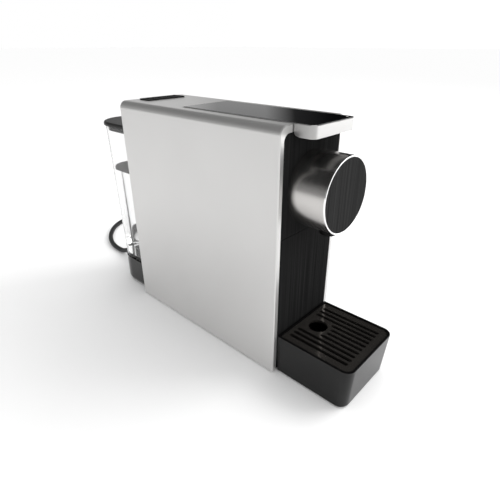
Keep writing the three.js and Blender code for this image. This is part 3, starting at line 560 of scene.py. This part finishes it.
def hoses():
    hose("suction_hose", "hose", 3, [(-19, 234, 24), (-19, 210, 24), (-19, 189.5, 24)])
    hose("pump_hose", "hose", 3, [
        (-19, 154.5, 24), (-19, 148, 24), (-19, 136, 24.3), (-17, 124, 29), (-12, 117.5, 41),
        (-8.5, 116.5, 53), (-8, 121, 61.5), (-8, 127.5, 62)])
    hose("pressure_hose", "white", 2.5, [
        (-8, 204.8, 62), (-8, 208, 62.6), (-7, 211, 71), (-4, 211, 86), (2, 208, 112),
        (8, 201, 138), (10, 191, 151), (10, 190, 160.6)])


def as_mesh(piece):
    """The same piece as a mesh, for the calls that only take meshes."""
    shape = piece.evaluated_get(bpy.context.evaluated_depsgraph_get())
    mesh = bpy.data.meshes.new_from_object(shape)
    name = piece.name
    bpy.data.objects.remove(piece)
    return link(name, mesh)


def brew_hose():
    """Joins the fixed heater to the sliding piston."""
    route = placed([
        (0, 147.6, 183.2), (0, 138, 183.2), (7, 124, 174.2), (4, 106, 168.2), (-6, 90, 174.2),
        (0, 76, 183.2), (0, 67.3, 183.2)])
    piece = as_mesh(tube("brew_hose_line", route, 2.5 * MM))
    smooth(piece.data)
    finish_piece(piece, "housing", MATERIALS["white"], ("brew_hose",))
    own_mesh(piece)


# ---------- studio ----------
WALL_SIDE = math.radians(100)  # the walls change in this direction, clockwise from +Y
WALL_STOPS = (  # (how far towards that side, brightness)
    (0.0, 0.3), (0.25, 0.36), (0.4, 0.78), (0.49, 0.72),
    (0.54, 0.46), (0.63, 0.44), (0.68, 0.03), (0.74, 0.0),
)
WALL_TOP = {"From Min": 0.2, "From Max": 0.55, "To Min": 1, "To Max": 0.05}  # they fade out upwards
LIGHT_SIDE, LIGHT_SIDE_GAIN = (0.7, -0.7, 0), 0.36


def add_camera():
    """The photograph's viewpoint, worked out from the straight edges of the shell and the tray."""
    data = bpy.data.cameras.new("camera")
    data.lens = 29.26
    data.sensor_width = 36
    camera = link("camera", data)
    camera.location = (-0.28533, -0.29751, 0.29419)
    camera.rotation_euler = (math.radians(63.03), 0, math.radians(-47.41))
    bpy.context.scene.camera = camera


def add_floor():
    """A wide plain sheet at z = 0, which reaches past the edges of the picture."""
    mesh = bpy.data.meshes.new("floor")
    b = bmesh.new()
    bmesh.ops.create_grid(b, x_segments=1, y_segments=1, size=30)
    b.to_mesh(mesh)
    b.free()
    paper = new_material("floor_paper", (0.98, 0.98, 0.98), 0.9, Specular_IOR_Level=0.0)
    mesh.materials.append(paper)
    link("floor", mesh)


def add_light(name, place, aim, size, power):
    data = bpy.data.lights.new(name, "AREA")
    data.size = size
    data.energy = power
    light = link(name, data)
    light.location = place
    light.rotation_euler = (Vector(aim) - Vector(place)).to_track_quat("-Z", "Y").to_euler()
    return light


def maths(tree, operation, *values, clamp=False):
    """The result of a maths node. Each value is a number or the output of another node."""
    node = tree.nodes.new("ShaderNodeMath")
    node.operation = operation
    node.use_clamp = clamp
    for socket, value in zip(node.inputs, values):
        if isinstance(value, bpy.types.NodeSocket):
            tree.links.new(value, socket)
        else:
            socket.default_value = value
    return node.outputs["Value"]


def towards(tree, where, direction):
    """How far a place in the studio lies in a direction: 1 straight in it, -1 opposite to it."""
    node = tree.nodes.new("ShaderNodeVectorMath")
    node.operation = "DOT_PRODUCT"
    node.inputs[1].default_value = direction
    tree.links.new(where, node.inputs[0])
    return node.outputs["Value"]


def studio_walls(tree, where):
    """How bright the studio looks in a reflection: dark above and at the far right, dim at the
    left, and brightest in between."""
    side = (math.sin(WALL_SIDE), math.cos(WALL_SIDE), 0)
    across = tree.nodes.new("ShaderNodeValToRGB")
    ramp = across.color_ramp.elements
    ramp[0].position, ramp[1].position = WALL_STOPS[0][0], WALL_STOPS[-1][0]
    for place, _ in WALL_STOPS[1:-1]:
        ramp.new(place)
    for element, (_, value) in zip(ramp, WALL_STOPS):
        element.color = (value, value, value, 1)
    tree.links.new(towards(tree, where, side), across.inputs["Fac"])
    up = tree.nodes.new("ShaderNodeMapRange")
    up.interpolation_type = "SMOOTHSTEP"
    for socket, value in WALL_TOP.items():
        up.inputs[socket].default_value = value
    tree.links.new(towards(tree, where, (0, 0, 1)), up.inputs["Value"])
    return maths(tree, "MULTIPLY", across.outputs["Color"], up.outputs["Result"])


def soft_side(tree, where):
    """How bright the studio is as a light: more from the front right than from the back left."""
    return maths(tree, "MULTIPLY_ADD", towards(tree, where, LIGHT_SIDE), LIGHT_SIDE_GAIN, 1)


def add_world():
    """Even light on the machine, walls that only reflections show, and white behind it all."""
    world = bpy.data.worlds.new("studio")
    bpy.context.scene.world = world
    world.use_nodes = True
    tree = world.node_tree
    where = tree.nodes.new("ShaderNodeTexCoord").outputs["Generated"]
    ray = tree.nodes.new("ShaderNodeLightPath").outputs
    mix = tree.nodes.new("ShaderNodeMix")
    mix.data_type = "FLOAT"
    mirrored = maths(tree, "SUBTRACT", ray["Is Glossy Ray"], ray["Is Transmission Ray"], clamp=True)
    tree.links.new(mirrored, mix.inputs["Factor"])
    tree.links.new(soft_side(tree, where), mix.inputs["A"])
    tree.links.new(studio_walls(tree, where), mix.inputs["B"])
    background = tree.nodes["Background"]
    background.inputs["Color"].default_value = (1, 1, 1, 1)
    strength = maths(tree, "MAXIMUM", mix.outputs["Result"], ray["Is Camera Ray"])
    tree.links.new(strength, background.inputs["Strength"])


add_camera()
mains_lead()
dress_cad_nodes()
fine_nose()
front_ribs()
tank_water()
hoses()
brew_hose()
add_floor()
key = add_light("key", place=(1.3, -0.9, 1.5), aim=(0, 0, 0.1), size=1.1, power=16)
key.visible_glossy = False
add_light("front_card", place=(1.5, -1.35, 0.3), aim=(0, -0.15, 0.2), size=1.5, power=18)
add_world()
bpy.context.scene.view_settings.view_transform = "Standard"

bpy.context.view_layer.update()
